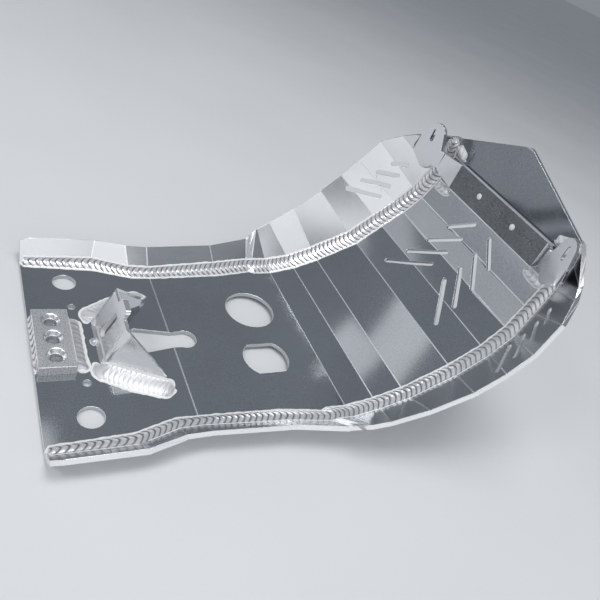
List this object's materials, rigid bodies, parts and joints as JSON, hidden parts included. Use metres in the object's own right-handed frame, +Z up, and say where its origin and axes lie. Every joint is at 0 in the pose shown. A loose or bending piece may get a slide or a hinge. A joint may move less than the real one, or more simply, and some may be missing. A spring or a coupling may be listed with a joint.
{
  "type": "motorcycle skid plate",
  "caption": "Welded aluminium motorcycle skid plate: folded floor turned up to a front lip, slotted side wings, bolting block, saddle bracket and crossbar ears; shields the engine from below.",
  "frame": {"origin": "centre of the middle bolt hole of the rear block, on the plate's upper face, under the block", "axes": "+X forward along the motorcycle, towards the turned-up lip; +Y to the rider's left; +Z up, along the bolt holes"},
  "size_m": [0.4238, 0.3198, 0.2456],
  "materials": {
    "plate_sheet": "polished mill finish with fine marks",
    "wing_sheet": "bright satin",
    "bracket_sheet": "satin",
    "block_bar": "milled",
    "weld_bead": "bright rippled weld"
  },
  "bodies": {
    "root": {"main_plate": "plate_sheet", "left_wing": "wing_sheet", "right_wing": "wing_sheet", "rear_mounting_block": "block_bar", "saddle_bracket": "bracket_sheet", "front_crossbar": "bracket_sheet", "plug_weld_left": "weld_bead", "plug_weld_right": "weld_bead", "seam_weld_left": "weld_bead", "seam_weld_right": "weld_bead", "block_rear_weld": "weld_bead", "block_front_weld": "weld_bead", "bracket_weld_left": "weld_bead", "bracket_weld_right": "weld_bead", "bracket_foot_weld": "weld_bead", "crossbar_upper_weld_left": "weld_bead", "crossbar_upper_weld_right": "weld_bead", "crossbar_lower_weld_left": "weld_bead", "crossbar_lower_weld_right": "weld_bead"}
  },
  "joints": []
}
